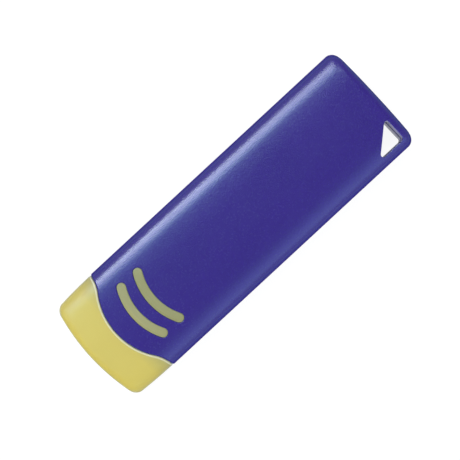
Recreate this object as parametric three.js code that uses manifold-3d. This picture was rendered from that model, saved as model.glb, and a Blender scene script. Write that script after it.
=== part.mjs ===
// A hand eraser: an elastomer insert whose tip does the rubbing, held between the two shells of a plastic casing.
// Millimetres. +X runs from the tip to the lanyard hole, +Z out of the front face, and the origin is under the
// middle of the back face. Each shell is drawn from the parting plane outwards and then placed.
import * as THREE from "three";
import { mergeVertices } from "three/addons/utils/BufferGeometryUtils.js";
import Module from "manifold-3d";

const wasm = await Module();
wasm.setup();

// Overall size.
const LENGTH = 69.5;
const WIDTH = 22.1;
const THICKNESS = 8;

// Casing.
const WALL = 1.5;
const LONG_EDGE_ROUND = 3.5;
const END_EDGE_ROUND = 1.4;
const CORNER_RADIUS = 1.6;
const END_BOW = 0.2;
const SIDE_BAND = 0.5;
const INNER_CORNER_RADIUS = 0.4;

// Mouth of the casing: a crest towards the tip that flares out to meet the sides square.
const TIP_LENGTH = 6.45;
const MOUTH_BULGE = 3.45;
const MOUTH_FLARE_RADIUS = 6.3;
const MOUTH_GAP = 0.1;

// Curved windows in both shells.
const WINDOW_COUNT = 2;
const WINDOW_WIDTH = 1.8;
const WINDOW_RADIUS = 11.5;
const WINDOW_SPAN = 11;
const WINDOW_PITCH = 3.95;
const WINDOW_SETBACK = 4.75;
const WINDOW_FIT = 0.06;
const WINDOW_RECESS = 0.1;

// Lanyard hole: a right triangle in one corner, with its legs along the end and the side.
const LANYARD_LEG_X = 5.9;
const LANYARD_LEG_Y = 5.25;
const LANYARD_END_WALL = 1.7;
const LANYARD_SIDE_WALL = 1.63;
const LANYARD_SQUARE_RADIUS = 0.6;
const LANYARD_SHARP_RADIUS = 0.5;
const LANYARD_TUBE_WALL = 1.2;

// Rubbing tip.
const TIP_STEP = 0.08;
const TIP_CORNER_RADIUS = 1.3;
const TIP_END_BOW = 1.2;
const TIP_TAPER = 0.48;
const TIP_END_ROUND = 1.2;

// What holds the shells and the insert together.
const FIT = 0.15;
const LIP_HEIGHT = 0.8;
const LIP_THICKNESS = 0.65;
const LIP_SETBACK = 2;
const PIN_RADIUS = 0.9;
const PIN_REACH = 1.5;
const BOSS_RADIUS = 1.9;
const PIN_FROM_WALL = 4;
const LAND = 1.2;
const RIB_THICKNESS = 1;
const RIB_PITCH = 10;
const RIB_GAP = 0.3;

// Facets.
const EDGE_STEPS = 9;
const INNER_EDGE_STEPS = 5;
const CORNER_STEPS = 6;
const TAPER_STEPS = 6;
const BOW_STEPS = 4;
const MOUTH_STEPS = 12;
const WINDOW_STEPS = 16;
const CAP_STEPS = 8;
const PEG_SIDES = 24;
const MERGE_DISTANCE = 1e-5;

// A cutter runs past what it cuts by this much.
const PAST = 1;

const HALF_LENGTH = LENGTH / 2;
const HALF_WIDTH = WIDTH / 2;
const HALF_THICKNESS = THICKNESS / 2;
const EDGE_ROUND = Math.min(LONG_EDGE_ROUND, HALF_THICKNESS - SIDE_BAND);

const CAVITY_TOP = HALF_THICKNESS - WALL;
const CAVITY_HALF_WIDTH = HALF_WIDTH - WALL;
const CAVITY_ROUND = Math.min(Math.max(EDGE_ROUND - WALL, INNER_CORNER_RADIUS), CAVITY_TOP);

const MOUTH_CREST = TIP_LENGTH - HALF_LENGTH;
const MOUTH_SIDE = MOUTH_CREST + MOUTH_BULGE;
const BLANK_ROOT = MOUTH_CREST - PAST;

const WINDOW_HALF_SPAN = WINDOW_SPAN / 2;
const WINDOW_SWEEP = Math.asin(WINDOW_HALF_SPAN / WINDOW_RADIUS);
const FIRST_WINDOW = MOUTH_CREST + WINDOW_SETBACK;
const LAST_WINDOW = FIRST_WINDOW + (WINDOW_COUNT - 1) * WINDOW_PITCH;
const WINDOWS_REAR = LAST_WINDOW + WINDOW_RADIUS * (1 - Math.cos(WINDOW_SWEEP)) + WINDOW_WIDTH / 2;

const BOSS_HOLE_RADIUS = BOSS_RADIUS + FIT;
const PIN_Y = CAVITY_HALF_WIDTH - PIN_FROM_WALL;
const TANG_PIN_X = WINDOWS_REAR + LAND + BOSS_HOLE_RADIUS;
const TANG_END = TANG_PIN_X + BOSS_HOLE_RADIUS + LAND;
const TANG_STOP = TANG_END + FIT;

const blue = new THREE.MeshStandardMaterial({ color: "#3f3590", roughness: 0.42, metalness: 0 });
const yellow = new THREE.MeshStandardMaterial({ color: "#d8c96f", roughness: 0.55, metalness: 0 });

// Solids: a closed geometry becomes one that can be joined and cut, and comes back as a named mesh.
function solid(geometry) {
  const bare = new THREE.BufferGeometry();
  bare.setAttribute("position", geometry.getAttribute("position"));
  bare.setIndex(geometry.getIndex());
  const merged = mergeVertices(bare, MERGE_DISTANCE);
  return new wasm.Manifold(
    new wasm.Mesh({
      numProp: 3,
      vertProperties: new Float32Array(merged.getAttribute("position").array),
      triVerts: new Uint32Array(merged.getIndex().array),
    }),
  );
}

function join(solids) {
  return solids.reduce((whole, next) => whole.add(next));
}

function mesh(name, body, material) {
  const { vertProperties, triVerts } = body.getMesh();
  const geometry = new THREE.BufferGeometry();
  geometry.setAttribute("position", new THREE.BufferAttribute(vertProperties, 3));
  geometry.setIndex(new THREE.BufferAttribute(triVerts, 1));
  geometry.computeVertexNormals();
  const made = new THREE.Mesh(geometry, material);
  made.name = name;
  made.position.z = HALF_THICKNESS;
  return made;
}

function prism(points, low, high) {
  const shape = new THREE.Shape(points);
  const geometry = new THREE.ExtrudeGeometry(shape, { depth: high - low, bevelEnabled: false });
  return solid(geometry.translate(0, 0, low));
}

function peg(x, y, radius, low, high) {
  const geometry = new THREE.CylinderGeometry(radius, radius, high - low, PEG_SIDES);
  return solid(geometry.rotateX(Math.PI / 2).translate(x, y, (low + high) / 2));
}

function block(lowX, highX, halfWidth, low, high) {
  const geometry = new THREE.BoxGeometry(highX - lowX, 2 * halfWidth, high - low);
  return solid(geometry.translate((lowX + highX) / 2, 0, (low + high) / 2));
}

// A closed solid through level outlines that all have the same number of points, lowest first.
function loft(sections) {
  const count = sections[0].outline.length;
  const top = (sections.length - 1) * count;
  const positions = sections.flatMap(({ z, outline }) => outline.flatMap((p) => [p.x, p.y, z]));
  const index = [];
  for (let low = 0; low < top; low += count) {
    for (let i = 0; i < count; i++) {
      const next = (i + 1) % count;
      index.push(low + i, low + next, low + count + next);
      index.push(low + i, low + count + next, low + count + i);
    }
  }
  for (const [a, b, c] of THREE.ShapeUtils.triangulateShape(sections[0].outline, [])) {
    index.push(c, b, a);
  }
  for (const [a, b, c] of THREE.ShapeUtils.triangulateShape(sections.at(-1).outline, [])) {
    index.push(top + a, top + b, top + c);
  }
  const geometry = new THREE.BufferGeometry();
  geometry.setAttribute("position", new THREE.Float32BufferAttribute(positions, 3));
  geometry.setIndex(index);
  return solid(geometry);
}

// Evenly spaced numbers, both ends among them.
function spread(from, to, steps) {
  return Array.from({ length: steps + 1 }, (_, i) => from + ((to - from) * i) / steps);
}

function arc(x, y, radius, from, to, steps) {
  return spread(from, to, steps).map(
    (a) => new THREE.Vector2(x + radius * Math.cos(a), y + radius * Math.sin(a)),
  );
}

// How far a rounded edge has drawn a wall in at a height under its top.
function drawnIn(height, top, round) {
  const up = Math.max(0, height - (top - round));
  return round - Math.sqrt(Math.max(0, round * round - up * up));
}

// Heights of the outlines from the parting plane up a rounded edge.
function heights(top, round, steps) {
  const climb = spread(0, Math.PI / 2, steps).map((a) => top - round + round * Math.sin(a));
  return climb[0] > 0 ? [0, ...climb] : climb;
}

// Outline of a bar with a square root and one free end with rounded corners. The end bows out, and the sides
// taper in towards it from where the taper starts.
function barOutline({ root, end, halfWidth, corner, bow = 0, taper = 0, taperStart = root }) {
  const way = Math.sign(end - root);
  const shoulder = Math.abs(end - root) - corner;
  const quarter = Math.PI / 2;
  const sideSteps = taper ? TAPER_STEPS : 1;
  const endSteps = bow ? BOW_STEPS : 1;
  const side = spread(0, shoulder, sideSteps).map((u) => new THREE.Vector2(u, -halfWidth));
  const bend = arc(shoulder, corner - halfWidth, corner, -quarter, 0, CORNER_STEPS).slice(1);
  const across = spread(corner - halfWidth, 0, endSteps).slice(1);
  const half = [...side, ...bend, ...across.map((v) => new THREE.Vector2(shoulder + corner, v))];
  const other = half.slice(0, -1).map((p) => new THREE.Vector2(p.x, -p.y));
  const whole = [...half, ...other.reverse()];
  const placed = whole.map((p) => {
    const x = root + way * (p.x - bow * (p.y / halfWidth) ** 2);
    const along = Math.max(0, (x - taperStart) / (end - taperStart));
    return new THREE.Vector2(x, p.y * (1 - (taper / halfWidth) * along ** 2));
  });
  return way > 0 ? placed : placed.reverse();
}

function casingSection(height) {
  const side = drawnIn(height, HALF_THICKNESS, EDGE_ROUND);
  const end = drawnIn(height, HALF_THICKNESS, END_EDGE_ROUND);
  const outline = barOutline({
    root: BLANK_ROOT,
    end: HALF_LENGTH - end,
    halfWidth: HALF_WIDTH - side,
    corner: CORNER_RADIUS,
    bow: END_BOW,
  });
  return { z: height, outline };
}

// The plan inside the casing at an inset from its sides. Its end is flat, behind the bowed outer one.
function innerOutline(inset, root) {
  return barOutline({
    root,
    end: HALF_LENGTH - END_BOW - inset,
    halfWidth: HALF_WIDTH - inset,
    corner: Math.max(CORNER_RADIUS - inset, INNER_CORNER_RADIUS),
  });
}

function cavitySection(height) {
  const side = drawnIn(height, CAVITY_TOP, CAVITY_ROUND);
  const outline = barOutline({
    root: BLANK_ROOT - PAST,
    end: HALF_LENGTH - END_BOW - WALL,
    halfWidth: CAVITY_HALF_WIDTH - side,
    corner: INNER_CORNER_RADIUS,
  });
  return { z: height, outline };
}

// The S-curve of the mouth from one side to the other: two flares tangent to the crest's arc.
function mouthCurve(setback) {
  const turn = 2 * Math.atan(MOUTH_BULGE / HALF_WIDTH);
  const crestRadius = HALF_WIDTH / Math.sin(turn) - MOUTH_FLARE_RADIUS;
  const crestX = MOUTH_CREST - setback + crestRadius;
  const flareX = MOUTH_SIDE - setback - MOUTH_FLARE_RADIUS;
  const half = Math.PI;
  const crest = arc(crestX, 0, crestRadius, half + turn, half - turn, 2 * MOUTH_STEPS);
  const low = arc(flareX, -HALF_WIDTH, MOUTH_FLARE_RADIUS, 0, turn, MOUTH_STEPS);
  const high = arc(flareX, HALF_WIDTH, MOUTH_FLARE_RADIUS, -turn, 0, MOUTH_STEPS);
  return [...low.slice(0, -1), ...crest, ...high.slice(1)];
}

// Everything on the tip's side of the mouth, over the whole thickness.
function tipSide(setback) {
  const curve = mouthCurve(setback);
  const far = -HALF_LENGTH - PAST;
  const wide = HALF_WIDTH + PAST;
  const outline = [
    new THREE.Vector2(far, -wide),
    new THREE.Vector2(curve[0].x, -wide),
    ...curve,
    new THREE.Vector2(curve.at(-1).x, wide),
    new THREE.Vector2(far, wide),
  ];
  return prism(outline, -HALF_THICKNESS - PAST, HALF_THICKNESS + PAST);
}

// A window's outline, or that of the rib that fills it, narrower by a clearance all round.
function windowOutline(x, clearance) {
  const centreX = x + WINDOW_RADIUS;
  const reach = WINDOW_WIDTH / 2 - clearance;
  const from = Math.PI - WINDOW_SWEEP;
  const to = Math.PI + WINDOW_SWEEP;
  const capX = centreX + WINDOW_RADIUS * Math.cos(from);
  const outer = arc(centreX, 0, WINDOW_RADIUS + reach, from, to, WINDOW_STEPS);
  const inner = arc(centreX, 0, WINDOW_RADIUS - reach, to, from, WINDOW_STEPS);
  const lowCap = arc(capX, -WINDOW_HALF_SPAN, reach, to, to + Math.PI, CAP_STEPS).slice(1, -1);
  const highCap = arc(capX, WINDOW_HALF_SPAN, reach, from - Math.PI, from, CAP_STEPS).slice(1, -1);
  return [...outer, ...lowCap, ...inner, ...highCap];
}

function windows(clearance, low, high) {
  const places = Array.from({ length: WINDOW_COUNT }, (_, i) => FIRST_WINDOW + i * WINDOW_PITCH);
  return join(places.map((x) => prism(windowOutline(x, clearance), low, high)));
}

// Corners of the lanyard hole, moved out by a growth: a larger triangle about the same inner circle's centre.
function lanyardCorners(growth) {
  const x = HALF_LENGTH - LANYARD_END_WALL;
  const y = LANYARD_SIDE_WALL - HALF_WIDTH;
  const long = Math.hypot(LANYARD_LEG_X, LANYARD_LEG_Y);
  const inner = (LANYARD_LEG_X + LANYARD_LEG_Y - long) / 2;
  const centre = new THREE.Vector2(x - inner, y + inner);
  const corners = [
    new THREE.Vector2(x, y),
    new THREE.Vector2(x, y + LANYARD_LEG_Y),
    new THREE.Vector2(x - LANYARD_LEG_X, y),
  ];
  return corners.map((p) => p.sub(centre).multiplyScalar(1 + growth / inner).add(centre));
}

// A polygon, drawn anticlockwise, whose corners are rounded to the given radii.
function roundedPolygon(corners, radii) {
  return corners.flatMap((corner, i) => {
    const before = corners.at(i - 1).clone().sub(corner).normalize();
    const after = corners[(i + 1) % corners.length].clone().sub(corner).normalize();
    const halfAngle = Math.acos(before.dot(after)) / 2;
    const middle = before.clone().add(after).normalize();
    const centre = corner.clone().addScaledVector(middle, radii[i] / Math.sin(halfAngle));
    const outward = middle.angle() + Math.PI;
    const sweep = Math.PI / 2 - halfAngle;
    return arc(centre.x, centre.y, radii[i], outward - sweep, outward + sweep, CORNER_STEPS);
  });
}

function lanyardPrism(growth, low, high) {
  const radii = [LANYARD_SQUARE_RADIUS, LANYARD_SHARP_RADIUS, LANYARD_SHARP_RADIUS];
  const outline = roundedPolygon(
    lanyardCorners(growth),
    radii.map((r) => r + growth),
  );
  return prism(outline, low, high);
}

const LANYARD_TUBE_LEFT = lanyardCorners(LANYARD_TUBE_WALL)[2].x;
const HANDLE_PIN_X = LANYARD_TUBE_LEFT - LAND - BOSS_RADIUS;

const pinPlaces = [TANG_PIN_X, HANDLE_PIN_X].flatMap((x) => [
  [x, -PIN_Y],
  [x, PIN_Y],
]);

// Cross ribs under the face, about a pitch apart: the first stops the tang, and the last joins the handle's bosses.
function ribPlaces() {
  const last = HANDLE_PIN_X - RIB_THICKNESS / 2;
  const gaps = Math.max(1, Math.round((last - TANG_STOP) / RIB_PITCH));
  return spread(TANG_STOP, last, gaps);
}

// The hollow of a shell, less the ribs, bosses and lanyard tube that stand in it.
function hollow() {
  const levels = heights(CAVITY_TOP, CAVITY_ROUND, INNER_EDGE_STEPS);
  const space = loft([{ ...cavitySection(0), z: -PAST }, ...levels.map(cavitySection)]);
  const top = HALF_THICKNESS;
  const tube = lanyardPrism(LANYARD_TUBE_WALL, -2 * PAST, top);
  const bosses = pinPlaces.map(([x, y]) => peg(x, y, BOSS_RADIUS, -2 * PAST, top));
  const ribs = ribPlaces().map((x) => block(x, x + RIB_THICKNESS, HALF_WIDTH, RIB_GAP, top));
  return space.subtract(join([tube, ...bosses, ...ribs]));
}

// What both shells share.
function shell() {
  const blank = loft(heights(HALF_THICKNESS, EDGE_ROUND, EDGE_STEPS).map(casingSection));
  const above = HALF_THICKNESS + PAST;
  const hole = lanyardPrism(0, -PAST, above);
  const cuts = join([hollow(), hole, windows(0, CAVITY_TOP - PAST, above)]);
  return blank.subtract(cuts).subtract(tipSide(0));
}

// A band that follows the casing's plan between two insets, open at the mouth and broken at the lanyard tube.
function planBand(outerInset, innerInset, tubeGrowth, low, high) {
  const root = MOUTH_SIDE + LIP_SETBACK;
  const outer = prism(innerOutline(outerInset, root), low, high);
  const inner = prism(innerOutline(innerInset, root - PAST), low - PAST, high + PAST);
  return outer.subtract(inner).subtract(lanyardPrism(tubeGrowth, low - PAST, high + PAST));
}

function frontShell() {
  const lip = planBand(WALL - LIP_THICKNESS, WALL, LANYARD_TUBE_WALL + FIT, -LIP_HEIGHT, SIDE_BAND);
  const pins = pinPlaces.map(([x, y]) => peg(x, y, PIN_RADIUS, -PIN_REACH, CAVITY_TOP));
  return join([shell(), lip, ...pins]);
}

function backShell() {
  const rebate = planBand(
    WALL - LIP_THICKNESS - FIT,
    WALL + FIT,
    LANYARD_TUBE_WALL,
    -PAST,
    LIP_HEIGHT + FIT,
  );
  const depth = PIN_REACH + FIT;
  const sockets = pinPlaces.map(([x, y]) => peg(x, y, PIN_RADIUS + FIT, -PAST, depth));
  return shell().subtract(join([rebate, ...sockets]));
}

// The rubbing tip, a little under the casing's surface all round.
function tipSection(height) {
  const top = HALF_THICKNESS - TIP_STEP;
  const round = EDGE_ROUND - TIP_STEP;
  const side = drawnIn(Math.abs(height), top, round);
  const end = drawnIn(Math.abs(height), top, TIP_END_ROUND);
  const outline = barOutline({
    root: MOUTH_SIDE + PAST,
    end: end - HALF_LENGTH,
    halfWidth: HALF_WIDTH - TIP_STEP - side,
    corner: TIP_CORNER_RADIUS,
    bow: TIP_END_BOW,
    taper: TIP_TAPER,
    taperStart: MOUTH_SIDE,
  });
  return { z: height, outline };
}

// The flat tang fills the hollow's height and is clear of its sides.
function tangSection(height) {
  const side = drawnIn(Math.abs(height), CAVITY_TOP, CAVITY_ROUND);
  const outline = barOutline({
    root: MOUTH_CREST - PAST,
    end: TANG_END,
    halfWidth: CAVITY_HALF_WIDTH - FIT - side,
    corner: INNER_CORNER_RADIUS,
  });
  return { z: height, outline };
}

function bothSides(levels) {
  const below = levels.filter((h) => h > 0).map((h) => -h);
  return [...below.reverse(), ...levels];
}

function eraserInsert() {
  const tipTop = HALF_THICKNESS - TIP_STEP;
  const tipLevels = bothSides(heights(tipTop, EDGE_ROUND - TIP_STEP, EDGE_STEPS));
  const tangLevels = bothSides(heights(CAVITY_TOP, CAVITY_ROUND, INNER_EDGE_STEPS));
  const tip = loft(tipLevels.map(tipSection)).intersect(tipSide(MOUTH_GAP));
  const tang = loft(tangLevels.map(tangSection));
  const ribTop = HALF_THICKNESS - WINDOW_RECESS;
  const ribs = windows(WINDOW_FIT, -ribTop, ribTop);
  const bossHoles = [-PIN_Y, PIN_Y].map((y) =>
    peg(TANG_PIN_X, y, BOSS_HOLE_RADIUS, -HALF_THICKNESS, HALF_THICKNESS),
  );
  return join([tip, tang, ribs]).subtract(join(bossHoles));
}

const eraser = new THREE.Group();
const front = mesh("front_shell", frontShell(), blue);
const back = mesh("back_shell", backShell(), blue);
back.scale.z = -1;
eraser.add(front, back, mesh("eraser_insert", eraserInsert(), yellow));

export default eraser;
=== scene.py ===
"""A cased hand eraser: fine meshes for its two shells and its insert, their finishes, and a studio.

The meshes are worked out in millimetres in the CAD model's frame, with heights counted from the parting plane
between the shells, and turn to metres when they become Blender objects.
"""

import math

import bmesh
import bpy
import numpy as np
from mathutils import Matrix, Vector
from mathutils.geometry import delaunay_2d_cdt

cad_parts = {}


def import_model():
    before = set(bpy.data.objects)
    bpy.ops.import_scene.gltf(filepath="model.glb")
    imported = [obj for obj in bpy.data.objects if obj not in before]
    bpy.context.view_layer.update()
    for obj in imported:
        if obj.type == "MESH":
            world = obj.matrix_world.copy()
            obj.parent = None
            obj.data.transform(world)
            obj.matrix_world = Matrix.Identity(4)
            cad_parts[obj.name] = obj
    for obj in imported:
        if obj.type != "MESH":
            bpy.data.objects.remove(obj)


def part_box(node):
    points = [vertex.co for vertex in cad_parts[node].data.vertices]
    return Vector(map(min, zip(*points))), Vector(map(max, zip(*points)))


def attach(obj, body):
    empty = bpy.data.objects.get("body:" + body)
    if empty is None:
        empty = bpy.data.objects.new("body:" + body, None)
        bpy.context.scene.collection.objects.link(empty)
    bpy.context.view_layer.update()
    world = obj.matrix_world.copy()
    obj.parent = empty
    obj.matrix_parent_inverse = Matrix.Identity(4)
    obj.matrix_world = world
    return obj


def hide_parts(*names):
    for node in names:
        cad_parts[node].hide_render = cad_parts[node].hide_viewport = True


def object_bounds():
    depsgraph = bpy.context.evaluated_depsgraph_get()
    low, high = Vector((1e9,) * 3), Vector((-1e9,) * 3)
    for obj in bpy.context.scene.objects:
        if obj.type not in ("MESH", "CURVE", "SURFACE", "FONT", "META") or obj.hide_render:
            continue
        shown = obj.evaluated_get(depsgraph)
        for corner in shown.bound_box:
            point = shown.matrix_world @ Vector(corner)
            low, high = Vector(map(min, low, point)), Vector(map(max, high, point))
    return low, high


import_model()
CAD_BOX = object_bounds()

MM = 0.001
DECIMALS = 4


def in_mm(metres):
    return round(metres / MM, DECIMALS)


# Sizes that the CAD model gives.
HALF_LENGTH, HALF_WIDTH, THICKNESS = (in_mm(c) for c in CAD_BOX[1])
TOP = THICKNESS / 2
PARTING_Z = THICKNESS / 2
MOUTH_CREST = in_mm(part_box("front_shell")[0].x)
TIP_TOP = in_mm(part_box("eraser_insert")[1].z) - PARTING_Z
TANG_END = in_mm(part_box("eraser_insert")[1].x)
TIP_STEP = TOP - TIP_TOP

# Casing, as in the CAD model.
WALL = 1.5
EDGE_ROUND = 3.5
END_ROUND = 1.4
CORNER_RADIUS = 1.6
END_BOW = 0.2
MOUTH_BULGE = 3.45
FLARE_RADIUS = 6.3
MOUTH_GAP = 0.1
WINDOW_SETBACK = 4.75
WINDOW_PITCH = 3.95
WINDOW_WIDTH = 1.8
WINDOW_RADIUS = 11.5
WINDOW_SPAN = 11
WINDOW_RECESS = 0.1
LANYARD_LEG_X = 5.9
LANYARD_LEG_Y = 5.25
LANYARD_END_WALL = 1.7
LANYARD_SIDE_WALL = 1.63
LANYARD_RADII = (0.6, 0.5, 0.5)

# Tip, as in the CAD model.
TIP_CORNER = 1.3
TIP_BOW = 1.2
TIP_TAPER = 0.48
TIP_END_ROUND = 1.2

# Too fine for the CAD model: the faces' crown, the softened edges, the seam, and the closer fit of the ribs.
CROWN = 0.16
CROWN_POWER = 4
CROWN_FADE = 0.26
MOUTH_ROUND = 0.2
WINDOW_ROUND = 0.12
LANYARD_ROUND = 0.05
SEAM_ROUND = 0.1
HOLE_SEAM_ROUND = 0.05
TIP_MOUTH_ROUND = 0.25
RIB_ROUND = 0.1
WINDOW_FIT = 0.03

# A highlight painted as a paler colour into the insert along the mouth: where it starts to fade, and where it
# has gone.
PAINTED_HIGHLIGHT_START = 0.25
PAINTED_HIGHLIGHT_END = 0.45

# The lanyard hole is a little wider in the front shell than in the back one. The finish of its wall, and the
# bounce light from the floor that is painted into its colour, fade into the face's over these distances.
FRONT_HOLE_GROW = 0.03
BACK_HOLE_GROW = -0.05
BORE_START = 0.005
BORE_END = 0.02

# The hidden inside: a pocket in each shell, and the insert's tang in it.
TANG_GAP = 0.05
TANG_END_GAP = 0.2
TANG_HALF_WIDTH = 7.2
POCKET_HALF_WIDTH = 7.4
CEILING = TOP - WALL
TANG_TOP = CEILING - TANG_GAP
POCKET_END = TANG_END + TANG_END_GAP

# How fine the meshes are.
FILLET_ANGLES = np.radians((0, 22.5, 45, 67.5, 90))
FILLET_GUARD = 1.8
RING_TOP_ANGLE = 45
RING_STEPS = 9
BAND_STEPS = 2
FACE_RING_ANGLES = range(50, 91, 5)
TIP_RING_STEPS = 18
SIDE_STEPS = 70
CORNER_STEPS = 10
END_STEPS = 10
TIP_SIDE_STEPS = 14
MOUTH_POINTS = 80
FINE_MOUTH_POINTS = 320
SLOT_POINTS = 36
CAP_POINTS = 14
LANYARD_CORNER_POINTS = 8
LANYARD_SIDE_POINTS = 12
GRID = 1.0
CLEAR_OF_LINES = 0.45
CLEAR_OF_MOUTH = 0.4
CLEAR_OF_SEAM = 0.15
CDT_EPSILON = 1e-5
NO_LENGTH = 1e-12
HALVINGS = 40
SHARP_ANGLE = math.radians(40)

# The mouth's arcs, and the middles of the windows.
MOUTH_SIDE = MOUTH_CREST + MOUTH_BULGE
TURN = 2 * math.atan(MOUTH_BULGE / HALF_WIDTH)
CREST_RADIUS = HALF_WIDTH / math.sin(TURN) - FLARE_RADIUS
CREST_X = MOUTH_CREST + CREST_RADIUS
FLARE_X = MOUTH_SIDE - FLARE_RADIUS
WINDOW_XS = (MOUTH_CREST + WINDOW_SETBACK, MOUTH_CREST + WINDOW_SETBACK + WINDOW_PITCH)

# The casing's long sides: which way each lies, and which point of a ring round the casing is its first.
LONG_SIDES = ((1, -1), (-1, 0))


# Plan curves.
def arc(x, y, radius, start, end, steps):
    angle = np.linspace(start, end, steps + 1)
    return np.column_stack([x + radius * np.cos(angle), y + radius * np.sin(angle)])


def drawn_in(height, top, radius):
    """How far a rounded edge has drawn a wall in at a height under its top."""
    up = np.clip(np.abs(height) - (top - radius), 0, radius)
    return radius - np.sqrt(radius**2 - up**2)


def crowned(points):
    """Points let down a little toward the long edges, in step with their height over the parting plane.

    The slope grows up to where the edge's round begins, and fades away over the first part of the round.
    """
    across = np.abs(points[:, 1]) / (HALF_WIDTH - EDGE_ROUND)
    beyond = np.clip(across - 1, 0, CROWN_FADE)
    fall = np.minimum(across, 1) ** CROWN_POWER + CROWN_POWER * (beyond - beyond**2 / CROWN_FADE / 2)
    share = np.clip(points[:, 2] / TOP, -1, 1)
    return points - np.outer(CROWN * fall * share, (0, 0, 1))


def fillet_steps(radius):
    """Distances from an edge at which its fillet gets a line of points, and one line beyond the fillet."""
    return np.append(radius * (1 - np.cos(FILLET_ANGLES)), FILLET_GUARD * radius)


def fillet_drop(distance, radius):
    """How deep under the surface a fillet runs at a distance from the edge."""
    short = np.clip(radius - distance, 0, radius)
    return radius - np.sqrt(radius**2 - short**2)


def mouth_x(y, inside):
    """X of the mouth's S-curve, or of the curve that lies further inside the casing."""
    y = np.abs(y)
    crest = CREST_RADIUS - inside
    flare = FLARE_RADIUS + inside
    on_crest = CREST_X - np.sqrt(np.maximum(crest**2 - y**2, 0))
    on_flare = FLARE_X + np.sqrt(np.maximum(flare**2 - (HALF_WIDTH - y) ** 2, 0))
    return np.where(y < crest * math.sin(TURN), on_crest, on_flare)


def mouth_line(y, inside):
    return np.column_stack([mouth_x(y, inside), y])


def whole_mouth(inside, points):
    """The mouth's curve over the whole width."""
    return mouth_line(np.linspace(-HALF_WIDTH, HALF_WIDTH, points), inside)


def slot_outline(x, grow):
    """A curved window's outline, moved out by grow."""
    sweep = math.asin(WINDOW_SPAN / 2 / WINDOW_RADIUS)
    centre = x + WINDOW_RADIUS
    reach = WINDOW_WIDTH / 2 + grow
    low, high = math.pi + sweep, math.pi - sweep
    cap_x = centre + WINDOW_RADIUS * math.cos(high)
    outer = arc(centre, 0, WINDOW_RADIUS + reach, high, low, SLOT_POINTS)
    low_cap = arc(cap_x, -WINDOW_SPAN / 2, reach, low, low + math.pi, CAP_POINTS)[1:-1]
    inner = arc(centre, 0, WINDOW_RADIUS - reach, low, high, SLOT_POINTS)
    high_cap = arc(cap_x, WINDOW_SPAN / 2, reach, high - math.pi, high, CAP_POINTS)[1:-1]
    return np.vstack([outer, low_cap, inner, high_cap])


def round_polygon(corners, radii):
    """An anticlockwise polygon with rounded corners and some points along its sides."""
    bends = []
    for i, corner in enumerate(corners):
        before = corners[i - 1] - corner
        after = corners[(i + 1) % len(corners)] - corner
        before = before / np.hypot(*before)
        after = after / np.hypot(*after)
        half_angle = math.acos(before @ after) / 2
        middle = (before + after) / np.hypot(*(before + after))
        centre = corner + middle * radii[i] / math.sin(half_angle)
        outward = math.atan2(-middle[1], -middle[0])
        sweep = math.pi / 2 - half_angle
        bends.append(arc(*centre, radii[i], outward - sweep, outward + sweep, LANYARD_CORNER_POINTS))
    outline = []
    for bend, following in zip(bends, bends[1:] + bends[:1]):
        side = np.linspace(bend[-1], following[0], LANYARD_SIDE_POINTS + 2)[1:-1]
        outline += [bend, side]
    return np.vstack(outline)


def lanyard_outline(grow):
    """The triangular lanyard hole, moved out by grow."""
    corner = np.array([HALF_LENGTH - LANYARD_END_WALL, LANYARD_SIDE_WALL - HALF_WIDTH])
    inner = (LANYARD_LEG_X + LANYARD_LEG_Y - math.hypot(LANYARD_LEG_X, LANYARD_LEG_Y)) / 2
    centre = corner + (-inner, inner)
    sharp = np.array([corner, corner + (0, LANYARD_LEG_Y), corner - (LANYARD_LEG_X, 0)])
    grown = centre + (sharp - centre) * (1 + grow / inner)
    return round_polygon(grown, [r + grow for r in LANYARD_RADII])


def bar_ring(width, end, corner, bow, near, side_steps):
    """Plan of a bar's side, rounded end and other side. near holds the x of the first points on the side."""
    way = math.copysign(1, end - near[-1])
    far = np.linspace(near[-1], end - way * (corner + bow), side_steps + 1)[1:]
    side_x = np.append(near, far)
    side = np.column_stack([side_x, np.full_like(side_x, -width)])
    bend = arc(0, corner - width, corner, -math.pi / 2, 0, CORNER_STEPS)[1:]
    across = np.linspace(corner - width, 0, END_STEPS + 1)[1:]
    nose = np.column_stack([np.full_like(across, corner), across])
    free = np.vstack([bend, nose])
    free[:, 0] = end + way * (free[:, 0] - corner - bow * (free[:, 1] / width) ** 2)
    half = np.vstack([side, free])
    return np.vstack([half, half[-2::-1] * (1, -1)])


def casing_ring(height, inset=0.0):
    """Plan of the casing's outside at a height, from the mouth round the far end and back to the mouth."""
    width = HALF_WIDTH - drawn_in(height, TOP, EDGE_ROUND) - inset
    end = HALF_LENGTH - drawn_in(height, TOP, END_ROUND) - inset
    near = mouth_x(width, fillet_steps(MOUTH_ROUND))
    return bar_ring(width, end, CORNER_RADIUS - inset, END_BOW, near, SIDE_STEPS)


def tip_ring(height):
    """Plan of the rubbing tip at a height, from the mouth round its end and back to the mouth."""
    width = HALF_WIDTH - TIP_STEP - drawn_in(height, TIP_TOP, EDGE_ROUND - TIP_STEP)
    end = drawn_in(height, TIP_TOP, TIP_END_ROUND) - HALF_LENGTH
    near = mouth_x(width, -MOUTH_GAP - fillet_steps(TIP_MOUTH_ROUND))
    ring = bar_ring(width, end, TIP_CORNER, TIP_BOW, near, TIP_SIDE_STEPS)
    along = np.clip((ring[:, 0] - MOUTH_SIDE) / (end - MOUTH_SIDE), 0, 1)
    ring[:, 1] *= 1 - TIP_TAPER / width * along**2
    return ring


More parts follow.
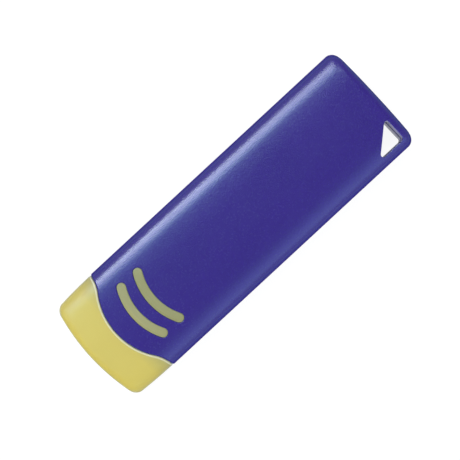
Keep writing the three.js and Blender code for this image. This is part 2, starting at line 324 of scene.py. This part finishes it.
def casing_height(plan):
    """Height of the casing's outside over the parting plane at plan points, found by halving."""
    x, y = plan.T
    low = np.zeros(len(plan))
    high = np.full(len(plan), TOP)
    for _ in range(HALVINGS):
        middle = (low + high) / 2
        width = HALF_WIDTH - drawn_in(middle, TOP, EDGE_ROUND)
        end = HALF_LENGTH - drawn_in(middle, TOP, END_ROUND)
        over_x = x + END_BOW * (y / width) ** 2 - (end - CORNER_RADIUS)
        over_y = np.abs(y) - (width - CORNER_RADIUS)
        corner = np.hypot(np.maximum(over_x, 0), np.maximum(over_y, 0))
        beyond = corner + np.minimum(np.maximum(over_x, over_y), 0) - CORNER_RADIUS
        low = np.where(beyond <= 0, middle, low)
        high = np.where(beyond <= 0, high, middle)
    return high


# Plan tests.
def inside(points, loop):
    """Which points lie inside a closed loop."""
    x, y = points[:, 0, None], points[:, 1, None]
    ax, ay = loop.T
    bx, by = np.roll(loop, -1, axis=0).T
    crosses = (ay > y) != (by > y)
    slope = (bx - ax) / np.where(by == ay, 1, by - ay)
    return (crosses & (x < ax + (y - ay) * slope)).sum(axis=1) % 2 == 1


def between_loops(points, edge, holes):
    """Which points lie inside a loop and in none of its holes."""
    kept = inside(points, edge)
    for hole in holes:
        kept &= ~inside(points, hole)
    return kept


def distance(points, line, closed=True):
    """Distance of each point to a line of points."""
    a = line if closed else line[:-1]
    b = np.roll(line, -1, axis=0) if closed else line[1:]
    along = b - a
    share = ((points[:, None] - a) * along).sum(axis=2) / (along**2).sum(axis=1)
    foot = a + np.clip(share, 0, 1)[..., None] * along
    return np.linalg.norm(points[:, None] - foot, axis=2).min(axis=1)


def from_mouth(points, inside):
    """Distance of each point to the mouth's curve, or to the one that lies further inside the casing."""
    return distance(points, whole_mouth(inside, FINE_MOUTH_POINTS), closed=False)


# Meshes.
class Layout:
    """Plan points to be joined by triangles, and the edges that the triangles have to keep."""

    def __init__(self, points):
        self.points = np.array(points)
        self.edges = []

    def add(self, points):
        first = len(self.points)
        self.points = np.vstack([self.points, points])
        return list(range(first, len(self.points)))

    def link(self, row, closed=False):
        self.edges += list(zip(row, row[1:]))
        if closed:
            self.edges.append((row[-1], row[0]))

    def loop(self, points):
        row = self.add(points)
        self.link(row, closed=True)
        return row

    def triangles(self, keep):
        """Triangles over the points, where keep says yes to their middles."""
        coords = [Vector(p) for p in self.points]
        _, _, corners, sources, *_ = delaunay_2d_cdt(coords, self.edges, [], 0, CDT_EPSILON)
        faces = np.array([[sources[i][0] for i in face] for face in corners])
        return faces[keep(self.points[faces].mean(axis=1))]


class Skin:
    """Points and faces of one closed mesh: plan positions with heights, in millimetres."""

    def __init__(self):
        self.points = np.zeros((0, 3))
        self.faces = []

    def add(self, plan, heights):
        first = len(self.points)
        heights = np.broadcast_to(heights, len(plan))
        self.points = np.vstack([self.points, np.column_stack([plan, heights])])
        return list(range(first, len(self.points)))

    def plan(self, numbers):
        return self.points[numbers][:, :2]

    def face(self, numbers):
        numbers = list(dict.fromkeys(numbers))
        if len(numbers) > 2:
            self.faces.append(numbers)

    def strip(self, row, other, closed=False):
        """Faces between two rows of as many points."""
        if closed:
            row, other = row + row[:1], other + other[:1]
        for i in range(len(row) - 1):
            self.face([row[i], row[i + 1], other[i + 1], other[i]])

    def fill(self, numbers, layout, keep):
        """Triangles over the points of a layout, given their numbers here."""
        for face in layout.triangles(keep):
            self.face([numbers[i] for i in face])

    def cap(self, outline, loops=()):
        """A flat face inside an outline, with a hole in each loop."""
        edge = self.plan(outline)
        holes = [self.plan(loop) for loop in loops]
        layout = Layout(edge)
        layout.link(list(range(len(outline))), closed=True)
        for hole in holes:
            layout.loop(hole)
        numbers = outline + [n for loop in loops for n in loop]
        self.fill(numbers, layout, lambda middles: between_loops(middles, edge, holes))

    def normals(self):
        total = np.zeros_like(self.points)
        for face in self.faces:
            corners = self.points[face]
            normal = np.cross(corners[1] - corners[0], corners[2] - corners[0])
            if len(face) > 3:
                normal = normal + np.cross(corners[2] - corners[0], corners[3] - corners[0])
            total[face] += normal
        return total / np.maximum(np.linalg.norm(total, axis=1), NO_LENGTH)[:, None]

    def sink(self, drop):
        """Moves points into the part, along the surface's own normals."""
        normals = self.normals()
        outward = (normals[:, 1:] * self.points[:, 1:]).sum(axis=1)
        self.points = self.points - normals * (np.where(outward < 0, -1, 1) * drop)[:, None]

    def piece(self, name, side=1):
        """A Blender object on the part's one body. Side -1 mirrors it to the other face."""
        points = crowned(self.points) * (1, 1, side) + (0, 0, PARTING_Z)
        mesh = bpy.data.meshes.new(name)
        mesh.from_pydata((points * MM).tolist(), [], self.faces)
        turn = bmesh.new()
        turn.from_mesh(mesh)
        bmesh.ops.recalc_face_normals(turn, faces=turn.faces)
        turn.to_mesh(mesh)
        turn.free()
        mesh.shade_smooth()
        mesh.set_sharp_from_angle(angle=SHARP_ANGLE)
        made = bpy.data.objects.new(name, mesh)
        bpy.context.scene.collection.objects.link(made)
        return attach(made, "root")


def fading(gaps, start, end):
    """Shares of one for gaps up to the start, and of nothing from the end on."""
    return np.clip((end - gaps) / (end - start), 0, 1)


def mark(piece, name, shares):
    """Gives each point of a piece its share under a name."""
    made = piece.data.attributes.new(name, "FLOAT", "POINT")
    made.data.foreach_set("value", shares)


def even_places(low, high, middle, points):
    """Places from low to high in more or less even steps, with the middle ones on both sides among them."""
    side = max(2, round(points * (high - middle) / (high - low)))
    centre = max(2, round(points * 2 * middle / (high - low)))
    first = np.linspace(low, -middle, side)
    second = np.linspace(-middle, middle, centre)
    third = np.linspace(middle, high, side)
    return np.concatenate([first, second[1:], third[1:]])


def add_mouth_lines(layout, ring, insides, half_width):
    """Lines along the mouth at each distance inside, joined to the first points of a ring at both sides."""
    rows = []
    for k, depth in enumerate(insides):
        y = even_places(ring[k][1], -ring[k][1], half_width, MOUTH_POINTS)[1:-1]
        row = [k] + layout.add(mouth_line(y, depth)) + [len(ring) - 1 - k]
        layout.link(row)
        rows.append(row)
    return rows


def middle_of(skin, mouth, half_width):
    """The mouth's points that lie within a half width."""
    return [n for n in mouth if abs(skin.points[n][1]) <= half_width + CDT_EPSILON]


def outer_part(mouth, middle, side):
    """The mouth's points on one side, from the end of its middle outwards."""
    if side > 0:
        return mouth[mouth.index(middle[-1]) :]
    return mouth[: mouth.index(middle[0]) + 1][::-1]


def clear_points(points, lines, open_line):
    """The points that keep clear of every closed line and of the open one."""
    gap = distance(points, open_line, closed=False)
    for line in lines:
        gap = np.minimum(gap, distance(points, line))
        gap = np.where(inside(points, line), 0, gap)
    return points[gap > CLEAR_OF_LINES]


def grid(low_x, high_x, half_width):
    x, y = np.meshgrid(np.arange(low_x, high_x, GRID), np.arange(GRID / 2 - half_width, half_width, GRID))
    return np.column_stack([x.ravel(), y.ravel()])


# Shells.
def shell_rows(skin):
    """Rings down the casing's side, from the shoulder of the edge's round to the seam."""
    angles = np.radians(np.linspace(RING_TOP_ANGLE, 0, RING_STEPS + 1))
    heights = TOP - EDGE_ROUND + EDGE_ROUND * np.sin(angles)
    band = np.linspace(heights[-1], SEAM_ROUND, BAND_STEPS + 1)[1:]
    rings = [(h, 0) for h in np.append(heights, band)]
    rings += [(SEAM_ROUND * (1 - math.sin(a)), SEAM_ROUND * (1 - math.cos(a))) for a in FILLET_ANGLES[1:]]
    rows = [skin.add(casing_ring(h, inset), h) for h, inset in rings]
    for row, lower in zip(rows, rows[1:]):
        skin.strip(row, lower)
    return rows


def face_openings(layout, hole_grow):
    """Fillet lines round the windows and the hole. Returns the edges' points and the outermost lines."""
    edges, lines = [], []
    outlines = [[slot_outline(x, step) for step in fillet_steps(WINDOW_ROUND)] for x in WINDOW_XS]
    outlines.append([lanyard_outline(hole_grow + step) for step in fillet_steps(LANYARD_ROUND)])
    for made in outlines:
        edges.append([layout.loop(points) for points in made][0])
        lines.append(made[-1])
    return edges, lines


def add_free_points(layout, lines):
    """Points over the rest of the face: rings over the edge's round, and a grid on the flat."""
    free = [casing_ring(TOP - EDGE_ROUND * (1 - math.sin(math.radians(a)))) for a in FACE_RING_ANGLES]
    free.append(grid(MOUTH_CREST, HALF_LENGTH - END_ROUND, HALF_WIDTH - EDGE_ROUND))
    inner_line = whole_mouth(FILLET_GUARD * MOUTH_ROUND, MOUTH_POINTS)
    for points in free:
        points = points[points[:, 0] > mouth_x(points[:, 1], CLEAR_OF_MOUTH)]
        layout.add(clear_points(points, lines, inner_line))


def add_face(skin, rim, hole_grow):
    """The casing's face inside the rim ring. Returns the points along the mouth and round each opening."""
    ring = skin.plan(rim)
    layout = Layout(ring)
    layout.link(list(range(len(ring))))
    mouth = add_mouth_lines(layout, ring, fillet_steps(MOUTH_ROUND), POCKET_HALF_WIDTH)[0]
    edges, lines = face_openings(layout, hole_grow)
    add_free_points(layout, lines)
    heights = casing_height(layout.points)
    numbers = rim + skin.add(layout.points[len(rim) :], heights[len(rim) :])
    outline = np.vstack([ring, layout.points[mouth[-2:0:-1]]])
    holes = [layout.points[edge] for edge in edges]

    def on_face(middles):
        return between_loops(middles, outline, holes) & (middles[:, 0] > mouth_x(middles[:, 1], 0))

    skin.fill(numbers, layout, on_face)
    return [[numbers[i] for i in row] for row in [mouth, *edges]]


def soften_shell(skin, hole_grow):
    """Rounds the edges of every opening, along the surface's own normals."""
    plan = skin.points[:, :2]
    drop = fillet_drop(from_mouth(plan, 0), MOUTH_ROUND)
    for x in WINDOW_XS:
        drop += fillet_drop(distance(plan, slot_outline(x, 0)), WINDOW_ROUND)
    drop += fillet_drop(distance(plan, lanyard_outline(hole_grow)), LANYARD_ROUND)
    skin.sink(drop)


def add_window_walls(skin, windows):
    """Walls of the windows. Returns the points round their feet, at the pocket's ceiling."""
    feet = []
    for x, row in zip(WINDOW_XS, windows):
        feet.append(skin.add(slot_outline(x, 0), CEILING))
        skin.strip(row, feet[-1], closed=True)
    return feet


def add_hole_wall(skin, hole, hole_grow):
    """Wall of the lanyard hole and its softened edge at the seam. Returns the points on the seam."""
    row = hole
    for angle in FILLET_ANGLES:
        height = HOLE_SEAM_ROUND * (1 - math.sin(angle))
        step = HOLE_SEAM_ROUND * (1 - math.cos(angle))
        lower = skin.add(lanyard_outline(hole_grow + step), height)
        skin.strip(row, lower, closed=True)
        row = lower
    return row


def add_pocket(skin, middle, window_feet):
    """The tang's pocket. Returns its upper points along the mouth, and its lower edge from side to side."""
    front = skin.add(mouth_line(skin.points[middle][:, 1], 0), CEILING)
    skin.strip(middle, front)
    back = np.array([(POCKET_END, POCKET_HALF_WIDTH), (POCKET_END, -POCKET_HALF_WIDTH)])
    high_back = skin.add(back, CEILING)
    skin.cap(front + high_back, window_feet)
    sides = mouth_line(np.array([POCKET_HALF_WIDTH, -POCKET_HALF_WIDTH]), 0)
    low_edge = skin.add(np.vstack([sides[:1], back, sides[1:]]), 0)
    skin.strip([front[-1], *high_back, front[0]], low_edge)
    return front, low_edge


def add_mouth_end(skin, lip, corner, foot):
    """The mouth's end face beside the pocket, under a lip that ends on the seam. Returns its lower points."""
    lower = [foot]
    for n in lip[1:]:
        y = skin.points[n][1]
        if abs(y) < HALF_WIDTH - SEAM_ROUND - CLEAR_OF_SEAM:
            lower += skin.add(mouth_line(np.array([y]), 0), 0)
        else:
            lower.append(lip[-1])
    skin.face([lip[0], lip[1], lower[1], lower[0], corner])
    skin.strip(lip[1:], lower[1:])
    return list(dict.fromkeys(lower))


def close_shell(skin, rows, openings, hole_grow):
    """Walls of the openings, the tang's pocket, the mouth's end faces and the seam face."""
    mouth, *windows, hole = openings
    window_feet = add_window_walls(skin, windows)
    hole_seam = add_hole_wall(skin, hole, hole_grow)
    middle = middle_of(skin, mouth, POCKET_HALF_WIDTH)
    front, low_edge = add_pocket(skin, middle, window_feet)
    feet = []
    for (side, first), foot in zip(LONG_SIDES, (low_edge[0], low_edge[-1])):
        lip = outer_part(mouth, middle, side) + [row[first] for row in rows[1:]]
        feet.append(add_mouth_end(skin, lip, front[first], foot))
    rim = rows[-1] + feet[0][-2::-1] + low_edge[1:-1] + feet[1][:-1]
    skin.cap(rim, [hole_seam])


def shell(name, side, hole_grow):
    """A shell of the casing: the front one for side 1, and the back one for side -1."""
    skin = Skin()
    rows = shell_rows(skin)
    openings = add_face(skin, rows[0], hole_grow)
    soften_shell(skin, hole_grow)
    close_shell(skin, rows, openings, hole_grow)
    made = skin.piece(name, side)
    # The bore share also carries the floor's bounce light that is painted on the hole's wall.
    gaps = distance(skin.points[:, :2], lanyard_outline(hole_grow))
    mark(made, "bore", fading(gaps, BORE_START, BORE_END))
    return made


# Insert.
def tip_rows(skin):
    """Rings round the tip, from its upper flat to its lower one."""
    radius = EDGE_ROUND - TIP_STEP
    angles = np.radians(np.linspace(90, 0, TIP_RING_STEPS + 1))
    upper = TIP_TOP - radius + radius * np.sin(angles)
    heights = np.concatenate([upper, [0], -upper[::-1]])
    rows = [skin.add(tip_ring(h), h) for h in heights]
    for row, lower in zip(rows, rows[1:]):
        skin.strip(row, lower)
    return rows


def add_tip_flat(skin, rim, height):
    """A flat face of the tip inside its rim ring. Returns the points along the mouth."""
    ring = skin.plan(rim)
    layout = Layout(ring)
    layout.link(list(range(len(ring))))
    insides = -MOUTH_GAP - fillet_steps(TIP_MOUTH_ROUND)
    mouth = add_mouth_lines(layout, ring, insides, TANG_HALF_WIDTH)[0]
    outline = np.vstack([ring, layout.points[mouth[-2:0:-1]]])
    points = grid(-HALF_LENGTH, MOUTH_SIDE, HALF_WIDTH)
    points = points[inside(points, outline)]
    points = points[distance(points, outline) > CLEAR_OF_LINES]
    layout.add(clear_points(points, [], whole_mouth(insides[-1], MOUTH_POINTS)))
    numbers = rim + skin.add(layout.points[len(rim) :], height)
    skin.fill(numbers, layout, lambda middles: inside(middles, outline))
    return [numbers[i] for i in mouth]


def add_ribs(skin, side):
    """The raised ribs that fill the windows on one face. Returns the rows at their feet."""
    feet = []
    for x in WINDOW_XS:
        row = skin.add(slot_outline(x, -WINDOW_FIT), side * TANG_TOP)
        feet.append(row)
        for step in fillet_steps(RIB_ROUND)[:-1]:
            height = TOP - WINDOW_RECESS - fillet_drop(step, RIB_ROUND)
            upper = skin.add(slot_outline(x, -WINDOW_FIT - step), side * height)
            skin.strip(row, upper, closed=True)
            row = upper
        skin.cap(row)
    return feet


def add_tang_face(skin, middle, side):
    """One face of the tang with its ribs, and the shoulder down to it. Returns the points at its two ends."""
    front = skin.add(mouth_line(skin.points[middle][:, 1], -MOUTH_GAP), side * TANG_TOP)
    skin.strip(middle, front)
    corners = np.array([(TANG_END, TANG_HALF_WIDTH), (TANG_END, -TANG_HALF_WIDTH)])
    back = skin.add(corners, side * TANG_TOP)
    skin.cap(front + back, add_ribs(skin, side))
    return front, back


def close_insert(skin, rows, mouths):
    """The shoulder behind the mouth, and the tang with its ribs."""
    middles = [middle_of(skin, mouth, TANG_HALF_WIDTH) for mouth in mouths]
    faces = [add_tang_face(skin, middle, side) for middle, side in zip(middles, (1, -1))]
    skin.strip(*([front[-1], *back, front[0]] for front, back in faces))
    half = len(rows) // 2
    halves = (rows[: half + 1], rows[: half - 1 : -1])
    for side, first in LONG_SIDES:
        high, low = (
            outer_part(mouth, middle, side) + [row[first] for row in order[1:]]
            for mouth, middle, order in zip(mouths, middles, halves)
        )
        inner_high, inner_low = (front[first] for front, _ in faces)
        skin.face([high[0], high[1], low[1], low[0], inner_low, inner_high])
        skin.strip(high[1:], low[1:])


def insert(name):
    """The elastomer insert: the rubbing tip, and the tang behind it."""
    skin = Skin()
    rows = tip_rows(skin)
    mouths = [add_tip_flat(skin, rim, h) for rim, h in ((rows[0], TIP_TOP), (rows[-1], -TIP_TOP))]
    skin.sink(fillet_drop(from_mouth(skin.points[:, :2], -MOUTH_GAP), TIP_MOUTH_ROUND))
    close_insert(skin, rows, mouths)
    made = skin.piece(name)
    # The rim share marks where a highlight is painted along the mouth.
    gaps = from_mouth(skin.points[:, :2], -MOUTH_GAP)
    mark(made, "rim", fading(gaps, PAINTED_HIGHLIGHT_START, PAINTED_HIGHLIGHT_END))
    return made


# Finishes. Colours are in linear light, and noise scales are in waves to the metre.
NOISE_RANGE = (0.3, 0.7)
SHARE = (0, 1)
WHITE = (1, 1, 1)

# Casing. Toward the rims its roughness rises, and its gloss and sheen go from the first value to the second,
# between two facings. A facing is 0 where the surface is seen straight on, and 1 where it is seen edge on.
CASING_SHADES = ((0.0285, 0.0015, 0.216), (0.0320, 0.0035, 0.230))
CASING_SHADE_SCALE = 90
CASING_ROUGHNESS = (0.25, 0.28)
CASING_ROUGHNESS_SCALE = 2600
CASING_RIM_ROUGHNESS = 0.6
CASING_RIM_FACING = (0.4, 0.5)
CASING_RELIEF_SCALE = 4600
CASING_RELIEF_DEPTH = 0.032 * MM
CASING_GLOSS = (0.375, 0.02)
CASING_GLOSS_FACING = (0.2, 0.7)
CASING_GLOSS_TINT = (0.75, 0.95, 1)
CASING_SHEEN = (0.42, 0.04)
CASING_SHEEN_FACING = (0.45, 0.75)
CASING_SHEEN_ROUGHNESS = 0.5
CASING_SHEEN_TINT = (0.05, 0.6, 0.7)

# Wall of the lanyard hole: smoother and glossier than the face, and paler, with the floor's bounce light
# painted into its colour.
BORE_PAINTED_BOUNCE_LIGHT = (0.13, 0.12, 0.5)
BORE_ROUGHNESS = 0.3
BORE_GLOSS = 0.26

# Elastomer.
TIP_SHADES = ((0.62, 0.505, 0.077), (0.66, 0.545, 0.093))
TIP_SHADE_SCALE = 60
RIB_SHADES = ((0.358, 0.338, 0.128), (0.318, 0.302, 0.105))
# A highlight painted along the mouth, as a paler colour.
MOUTH_PAINTED_HIGHLIGHT = (0.74, 0.71, 0.42)
RUBBER_ROUGHNESS = (0.5, 0.58)
RUBBER_ROUGHNESS_SCALE = 500
RUBBER_RELIEF_SCALE = 2200
RUBBER_RELIEF_ROUGHNESS = 0.6
RUBBER_RELIEF_DEPTH = 0.02 * MM
RUBBER_RELIEF_STRENGTH = 0.25
RUBBER_GLOSS = 0.46
RUBBER_GLOSS_TINT = (0.3, 0.6, 1)
RUBBER_SHEEN = 0.75
RUBBER_SHEEN_ROUGHNESS = 0.4
RUBBER_SHEEN_TINT = (0.25, 0.45, 0.75)
RUBBER_GLOW = 0.2
RUBBER_GLOW_RADIUS = (1.0, 0.8, 0.3)
RUBBER_GLOW_DEPTH = 2 * MM

# Floor: its own grey, and the white that it gives off to what looks at it.
FLOOR_SHADE = (0.13, 0.13, 0.13)
FLOOR_ROUGHNESS = 0.9
FLOOR_WHITE = 0.9


def solid(colour):
    return (*colour, 1)


class Nodes:
    """The node tree of a material or a world, with short calls to add and link nodes."""

    def __init__(self, owner):
        owner.use_nodes = True
        self.tree = owner.node_tree

    def add(self, kind, **inputs):
        node = self.tree.nodes.new(kind)
        for name, value in inputs.items():
            node.inputs[name.replace("_", " ")].default_value = value
        return node

    def link(self, source, target):
        self.tree.links.new(source, target)

    def seen(self):
        """One for rays that look at the thing, straight or by way of gloss or glass, and else nothing."""
        path = self.add("ShaderNodeLightPath")
        seen = self.either(path.outputs["Is Camera Ray"], path.outputs["Is Glossy Ray"])
        return self.either(seen, path.outputs["Is Transmission Ray"])

    def ramp(self, source, low, high):
        """A colour from low to high as a noise goes over its range."""
        node = self.add("ShaderNodeValToRGB")
        for stop, place, colour in zip(node.color_ramp.elements, NOISE_RANGE, (low, high)):
            stop.position = place
            stop.color = solid(colour)
        self.link(source, node.inputs["Fac"])
        return node.outputs["Color"]

    def span(self, source, ends, limits):
        """A number that goes from one end to the other as the source goes over its limits."""
        low, high = ends
        start, end = limits
        node = self.add("ShaderNodeMapRange", From_Min=start, From_Max=end, To_Min=low, To_Max=high)
        self.link(source, node.inputs["Value"])
        return node.outputs["Result"]

    def toward(self, share, source, end):
        """A number that goes from the source's to the end's as the share goes from nothing to one."""
        node = self.add("ShaderNodeMix", B=end)
        self.link(share, node.inputs["Factor"])
        self.link(source, node.inputs["A"])
        return node.outputs["Result"]

    def either(self, first, second):
        """The greater of two numbers."""
        node = self.add("ShaderNodeMath")
        node.operation = "MAXIMUM"
        self.link(first, node.inputs[0])
        self.link(second, node.inputs[1])
        return node.outputs["Value"]

    def blend(self, share, first, second):
        """A colour between two others, which are sockets or plain colours."""
        node = self.add("ShaderNodeMix")
        node.data_type = "RGBA"
        self.link(share, node.inputs["Factor"])
        colour_sockets = [socket for socket in node.inputs if socket.type == "RGBA"]
        for socket, colour in zip(colour_sockets, (first, second)):
            if isinstance(colour, tuple):
                socket.default_value = solid(colour)
            else:
                self.link(colour, socket)
        return next(socket for socket in node.outputs if socket.type == "RGBA")


class Finish(Nodes):
    """A material with a Principled shader and textures in the object's own coordinates."""

    def __init__(self, name):
        self.material = bpy.data.materials.new(name)
        super().__init__(self.material)
        self.inputs = self.tree.nodes["Principled BSDF"].inputs
        self.place = self.add("ShaderNodeTexCoord").outputs["Object"]

    def set(self, name, value):
        """Sets one of the shader's own sockets to a number, a colour or what another node gives."""
        if isinstance(value, bpy.types.NodeSocket):
            self.link(value, self.inputs[name])
        else:
            self.inputs[name].default_value = value

    def marked(self, name):
        """The share that the mesh's points carry under a name."""
        node = self.add("ShaderNodeAttribute")
        node.attribute_name = name
        return node.outputs["Fac"]

    def noise(self, scale, detail, roughness=0.5):
        node = self.add("ShaderNodeTexNoise", Scale=scale, Detail=detail, Roughness=roughness)
        self.link(self.place, node.inputs["Vector"])
        return node.outputs["Fac"]

    def relief(self, source, depth):
        """Fine bumps of a depth in metres. Returns the socket for their strength."""
        node = self.add("ShaderNodeBump", Distance=depth)
        self.link(source, node.inputs["Height"])
        self.set("Normal", node.outputs["Normal"])
        return node.inputs["Strength"]


def casing_finish():
    """Blue violet moulded plastic with a fine eroded grain, and a smooth wall in the lanyard hole with bounce
    light painted in.
    """
    made = Finish("casing_plastic")
    bore = made.marked("bore")
    facing = made.add("ShaderNodeLayerWeight", Blend=0.5).outputs["Facing"]

    shade = made.ramp(made.noise(CASING_SHADE_SCALE, detail=3), *CASING_SHADES)
    # The hole's wall is painted paler here, for the light that the floor throws into it.
    made.set("Base Color", made.blend(bore, shade, BORE_PAINTED_BOUNCE_LIGHT))

    grain = made.span(made.noise(CASING_ROUGHNESS_SCALE, detail=2), CASING_ROUGHNESS, NOISE_RANGE)
    rim = made.span(facing, SHARE, CASING_RIM_FACING)
    satin = made.toward(rim, grain, CASING_RIM_ROUGHNESS)
    made.set("Roughness", made.toward(bore, satin, BORE_ROUGHNESS))

    strength = made.relief(made.noise(CASING_RELIEF_SCALE, detail=1), CASING_RELIEF_DEPTH)
    made.link(made.span(bore, SHARE[::-1], SHARE), strength)

    gloss = made.span(facing, CASING_GLOSS, CASING_GLOSS_FACING)
    made.set("Specular IOR Level", made.toward(bore, gloss, BORE_GLOSS))
    made.set("Specular Tint", solid(CASING_GLOSS_TINT))

    sheen = made.span(facing, CASING_SHEEN, CASING_SHEEN_FACING)
    made.set("Sheen Weight", made.toward(bore, sheen, 0))
    made.set("Sheen Roughness", CASING_SHEEN_ROUGHNESS)
    made.set("Sheen Tint", solid(CASING_SHEEN_TINT))
    return made.material


def elastomer_finish():
    """Yellow elastomer that lets a little light in, with a highlight painted paler along the mouth, and
    duller in the windows.
    """
    made = Finish("yellow_elastomer")
    split = made.add("ShaderNodeSeparateXYZ")
    made.link(made.place, split.inputs["Vector"])
    along = split.outputs["X"]
    crest, first, last = (x * MM for x in (MOUTH_CREST, *WINDOW_XS))

    tip = made.ramp(made.noise(TIP_SHADE_SCALE, detail=3), *TIP_SHADES)
    rib = made.blend(made.span(along, SHARE, (first, last)), *RIB_SHADES)
    shade = made.blend(made.span(along, SHARE, (crest, first)), tip, rib)
    # A highlight painted along the mouth: the colour turns paler there.
    made.set("Base Color", made.blend(made.marked("rim"), shade, MOUTH_PAINTED_HIGHLIGHT))

    grain = made.noise(RUBBER_ROUGHNESS_SCALE, detail=3)
    made.set("Roughness", made.span(grain, RUBBER_ROUGHNESS, NOISE_RANGE))
    bumps = made.noise(RUBBER_RELIEF_SCALE, detail=3, roughness=RUBBER_RELIEF_ROUGHNESS)
    made.relief(bumps, RUBBER_RELIEF_DEPTH).default_value = RUBBER_RELIEF_STRENGTH

    made.set("Specular IOR Level", RUBBER_GLOSS)
    made.set("Specular Tint", solid(RUBBER_GLOSS_TINT))
    made.set("Sheen Weight", RUBBER_SHEEN)
    made.set("Sheen Roughness", RUBBER_SHEEN_ROUGHNESS)
    made.set("Sheen Tint", solid(RUBBER_SHEEN_TINT))
    made.set("Subsurface Weight", RUBBER_GLOW)
    made.set("Subsurface Radius", RUBBER_GLOW_RADIUS)
    made.set("Subsurface Scale", RUBBER_GLOW_DEPTH)
    return made.material


def floor_finish():
    """A floor that takes the object's shadow, and that gives off white only to what looks at it."""
    made = Finish("floor_white")
    made.set("Base Color", solid(FLOOR_SHADE))
    made.set("Roughness", FLOOR_ROUGHNESS)
    made.set("Emission Color", solid(WHITE))
    made.set("Emission Strength", made.span(made.seen(), (0, FLOOR_WHITE), SHARE))
    return made.material


# Studio, in metres, watts and degrees.
FLOOR_REACH = 3.0

WARM = (1.0, 0.95, 0.915)
CYAN = (0.8, 0.95, 0.78)
SKY = (0.42, 0.9, 0.76)
MINT = (0.55, 1.0, 0.7)
HAZE = (0.6, 0.95, 1.0)

HORIZON_LIGHT = 1.0
ZENITH_LIGHT = 0.1
WORLD_LIGHT = 0.27
HORIZON_TOP = 30
ZENITH_EDGE = 72

CAMERA_PLACE = (-0.000911, -0.000156, 0.285)
CAMERA_TURN = -42.794
CAMERA_LENS = 121.4
SENSOR_WIDTH = 36
CLIP_START = 0.01


def floor():
    reach = FLOOR_REACH
    corners = [(-reach, -reach, 0), (reach, -reach, 0), (reach, reach, 0), (-reach, reach, 0)]
    mesh = bpy.data.meshes.new("floor")
    mesh.from_pydata(corners, [], [(0, 1, 2, 3)])
    made = bpy.data.objects.new("floor", mesh)
    bpy.context.scene.collection.objects.link(made)
    mesh.materials.append(floor_finish())


def polar(distance_m, azimuth, off_vertical):
    """A place at a distance, by its direction round from +X and its angle off the vertical."""
    a, v = math.radians(azimuth), math.radians(off_vertical)
    level = distance_m * math.sin(v)
    return (level * math.cos(a), level * math.sin(a), distance_m * math.cos(v))


def area_light(name, rays, place, size, power, tint=WHITE):
    """A soft lamp that looks at the middle of the object, and that only one kind of rays meets."""
    lamp = bpy.data.lights.new(name, "AREA")
    lamp.color = tint
    lamp.shape = "RECTANGLE"
    lamp.size, lamp.size_y = size
    lamp.energy = power
    made = bpy.data.objects.new(name, lamp)
    made.location = place
    view = Vector((0, 0, PARTING_Z * MM)) - Vector(place)
    made.rotation_euler = view.to_track_quat("-Z", "Y").to_euler()
    made.visible_diffuse = rays == "diffuse"
    made.visible_glossy = rays == "glossy"
    bpy.context.scene.collection.objects.link(made)


def plain_lights():
    """Lamps that light the object evenly and don't show in its gloss."""
    area_light("overhead", "diffuse", polar(0.6, 90, 0), size=(0.8, 0.8), power=1.55)
    area_light("side_key", "diffuse", polar(0.6, 100, 58), size=(0.6, 0.4), power=1.8)
    area_light("side_fill", "diffuse", polar(0.8, -90, 60), size=(1.3, 0.9), power=4.1)
    area_light("end_fill", "diffuse", polar(0.6, 180, 65), size=(0.6, 0.5), power=0.7)


def highlights():
    """Lamps that show only in the gloss: a strip along one long edge, and softer ones beside and opposite."""
    area_light("highlight_strip", "glossy", polar(0.5, 87, 47.5), size=(0.26, 0.259), power=3.2, tint=WARM)
    area_light("hot_spot", "glossy", polar(0.45, 102, 57), size=(0.09, 0.07), power=0.6, tint=WARM)
    area_light("soft_edge", "glossy", polar(0.3, 74, 27), size=(0.2, 0.095), power=0.35, tint=CYAN)
    area_light("gradient_card", "glossy", polar(0.25, 104, 23), size=(0.16, 0.105), power=0.19, tint=SKY)
    area_light("low_haze", "glossy", polar(0.4, -90, 20), size=(0.5, 0.1), power=0.21, tint=MINT)
    area_light("fill_shine", "glossy", polar(0.5, -90, 57), size=(0.5, 0.5), power=1.2, tint=HAZE)


def world():
    """A white horizon that darkens upward for what looks at it, and an even light for the rest."""
    made = bpy.data.worlds.new("studio")
    nodes = Nodes(made)
    back = made.node_tree.nodes["Background"]
    back.inputs["Color"].default_value = solid(WHITE)
    split = nodes.add("ShaderNodeSeparateXYZ")
    nodes.link(nodes.add("ShaderNodeTexCoord").outputs["Generated"], split.inputs["Vector"])
    limits = [math.sin(math.radians(a)) for a in (HORIZON_TOP, ZENITH_EDGE)]
    sky = nodes.span(split.outputs["Z"], (HORIZON_LIGHT, ZENITH_LIGHT), limits)
    mix = nodes.add("ShaderNodeMix", A=WORLD_LIGHT)
    nodes.link(nodes.seen(), mix.inputs["Factor"])
    nodes.link(sky, mix.inputs["B"])
    nodes.link(mix.outputs["Result"], back.inputs["Strength"])
    bpy.context.scene.world = made


def camera():
    lens = bpy.data.cameras.new("camera")
    lens.lens = CAMERA_LENS
    lens.sensor_width = SENSOR_WIDTH
    lens.clip_start = CLIP_START
    made = bpy.data.objects.new("camera", lens)
    made.location = CAMERA_PLACE
    made.rotation_euler = (0, 0, math.radians(CAMERA_TURN))
    bpy.context.scene.collection.objects.link(made)
    bpy.context.scene.camera = made


def dress(piece, node, finish):
    """Gives a piece its finish and hides the CAD node that it stands in for."""
    piece.data.materials.append(finish)
    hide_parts(node)


camera()
floor()
plain_lights()
highlights()
world()
bpy.context.scene.view_settings.view_transform = "Standard"

casing = casing_finish()
dress(shell("front_shell_moulding", 1, FRONT_HOLE_GROW), "front_shell", casing)
dress(shell("back_shell_moulding", -1, BACK_HOLE_GROW), "back_shell", casing)
dress(insert("eraser_moulding"), "eraser_insert", elastomer_finish())
